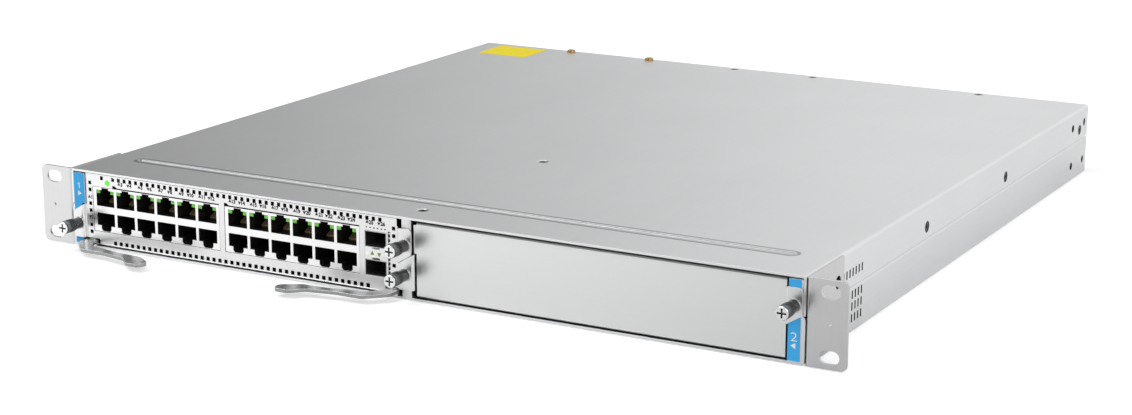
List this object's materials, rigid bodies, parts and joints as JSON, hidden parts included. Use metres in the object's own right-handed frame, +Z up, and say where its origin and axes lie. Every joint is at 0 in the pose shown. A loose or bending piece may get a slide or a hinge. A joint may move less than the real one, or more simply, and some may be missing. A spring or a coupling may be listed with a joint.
{
  "type": "modular chassis switch",
  "caption": "One-unit modular network switch in sheet steel: a port card with ejector levers beside a blank panel, with two power supplies and a fan tray at the rear.",
  "frame": {"origin": "middle of the front edge of the underside, on the front plane of the rack ears", "axes": "+X to the right as seen from the front, +Y back into the chassis, +Z up"},
  "size_m": [0.4826, 0.4926, 0.0451],
  "materials": {
    "zinc_steel": "galvanised sheet, satin",
    "lid_steel": "galvanised sheet, fine grained satin",
    "ear_steel": "nickel plated, satin",
    "card_steel": "nickel plated, bright satin",
    "blank_steel": "nickel plated, satin",
    "lever_steel": "stamped, tumbled",
    "screw_steel": "bright zinc",
    "knob_steel": "turned, nickel plated",
    "bronze_screw": "yellow passivated",
    "shield_tin": "tin plated, bright",
    "cage_tin": "nickel plated",
    "gasket_spring": "bright spring strip",
    "blue_label": "printed film",
    "yellow_label": "printed film",
    "black_moulding": "moulded",
    "black_handle": "powder coated",
    "gold_contact": "gold flashed",
    "green_light": "clear moulded",
    "status_light": "clear moulded",
    "white_bar": "moulded",
    "green_board": "solder mask",
    "chip_black": "moulded",
    "sink_aluminium": "extruded",
    "fan_black": "moulded",
    "latch_plastic": "moulded"
  },
  "bodies": {
    "chassis": {"base_tray": "zinc_steel", "top_cover": "lid_steel", "rack_ear_left": "ear_steel", "rack_ear_right": "ear_steel", "ear_screws": "screw_steel", "centre_post": "zinc_steel", "slot_label_left": "blue_label", "slot_label_right": "blue_label", "cover_screws": "screw_steel", "lock_screws": "bronze_screw", "rear_panel": "zinc_steel", "bay_walls": "zinc_steel", "backplane_frame": "zinc_steel", "backplane_board": "green_board", "backplane_sockets": "black_moulding", "main_board": "green_board", "board_standoffs": "screw_steel", "switch_chips": "chip_black", "switch_heatsinks": "sink_aluminium", "top_sticker": "yellow_label"},
    "line_card": {"card_tray": "card_steel", "card_board": "green_board", "jack_block_1": "black_moulding", "jack_block_2": "black_moulding", "jack_shield_1": "shield_tin", "jack_shield_2": "shield_tin", "jack_contacts": "gold_contact", "port_light_pipes": "green_light", "sfp_cage": "cage_tin", "sfp_light_bar": "white_bar", "sfp_gasket": "gasket_spring", "status_light_pipe": "status_light", "card_plug": "black_moulding", "card_heatsinks": "sink_aluminium", "lever_pins": "screw_steel", "card_ferrules": "screw_steel"},
    "lever_left": {"ejector_lever_left": "lever_steel"},
    "lever_right": {"ejector_lever_right": "lever_steel"},
    "captive_1": {"card_screw_left": "knob_steel"},
    "captive_2": {"card_screw_right": "knob_steel"},
    "blank": {"blank_panel": "blank_steel", "blank_ferrules": "screw_steel"},
    "captive_3": {"blank_screw_left": "knob_steel"},
    "captive_4": {"blank_screw_right": "knob_steel"},
    "psu_1": {"psu_case_1": "zinc_steel", "psu_inlet_1": "black_moulding", "psu_handle_1": "black_handle"},
    "latch_1": {"psu_latch_1": "latch_plastic"},
    "psu_2": {"psu_case_2": "zinc_steel", "psu_inlet_2": "black_moulding", "psu_handle_2": "black_handle"},
    "latch_2": {"psu_latch_2": "latch_plastic"},
    "fan_module": {"fan_tray": "zinc_steel", "fan_tray_handle": "black_handle", "fan_tray_screws": "screw_steel", "fan_frames": "fan_black"},
    "rotor_1": {"fan_rotor_1": "fan_black"},
    "rotor_2": {"fan_rotor_2": "fan_black"},
    "rotor_3": {"fan_rotor_3": "fan_black"}
  },
  "joints": [
    {"name": "line_card_slide", "type": "slide", "parent": "chassis", "child": "line_card", "axis": [0, -1, 0], "range_m": [0, 0.17]},
    {"name": "lever_left_hinge", "type": "hinge", "parent": "line_card", "child": "lever_left", "pos_m": [-0.2074, 0.0013, 0.0035], "axis": [0, 0, -1], "range_deg": [0, 34]},
    {"name": "lever_right_hinge", "type": "hinge", "parent": "line_card", "child": "lever_right", "pos_m": [-0.0093, 0.0013, 0.0035], "axis": [0, 0, 1], "range_deg": [0, 34]},
    {"name": "blank_slide", "type": "slide", "parent": "chassis", "child": "blank", "axis": [0, -1, 0], "range_m": [0, 0.03]},
    {"name": "captive_1_turn", "type": "hinge", "parent": "line_card", "child": "captive_1", "pos_m": [-0.215, -0.008, 0.0134], "axis": [0, 1, 0], "continuous": true},
    {"name": "captive_2_turn", "type": "hinge", "parent": "line_card", "child": "captive_2", "pos_m": [-0.00115, -0.008, 0.0289], "axis": [0, 1, 0], "continuous": true},
    {"name": "captive_3_turn", "type": "hinge", "parent": "blank", "child": "captive_3", "pos_m": [-0.00115, -0.008, 0.0134], "axis": [0, 1, 0], "continuous": true},
    {"name": "captive_4_turn", "type": "hinge", "parent": "blank", "child": "captive_4", "pos_m": [0.2145, -0.008, 0.0289], "axis": [0, 1, 0], "continuous": true},
    {"name": "psu_1_slide", "type": "slide", "parent": "chassis", "child": "psu_1", "axis": [0, 1, 0], "range_m": [0, 0.18]},
    {"name": "latch_1_slide", "type": "slide", "parent": "psu_1", "child": "latch_1", "axis": [-1, 0, 0], "range_m": [0, 0.002], "stiffness_N_per_m": 800},
    {"name": "psu_2_slide", "type": "slide", "parent": "chassis", "child": "psu_2", "axis": [0, 1, 0], "range_m": [0, 0.18]},
    {"name": "latch_2_slide", "type": "slide", "parent": "psu_2", "child": "latch_2", "axis": [-1, 0, 0], "range_m": [0, 0.002], "stiffness_N_per_m": 800},
    {"name": "fan_tray_slide", "type": "slide", "parent": "chassis", "child": "fan_module", "axis": [0, 1, 0], "range_m": [0, 0.06]},
    {"name": "rotor_1_spin", "type": "hinge", "parent": "fan_module", "child": "rotor_1", "pos_m": [0.001, 0.435, 0.0213], "axis": [0, 1, 0], "continuous": true},
    {"name": "rotor_2_spin", "type": "hinge", "parent": "fan_module", "child": "rotor_2", "pos_m": [0.091, 0.435, 0.0213], "axis": [0, 1, 0], "continuous": true},
    {"name": "rotor_3_spin", "type": "hinge", "parent": "fan_module", "child": "rotor_3", "pos_m": [0.181, 0.435, 0.0213], "axis": [0, 1, 0], "continuous": true}
  ]
}
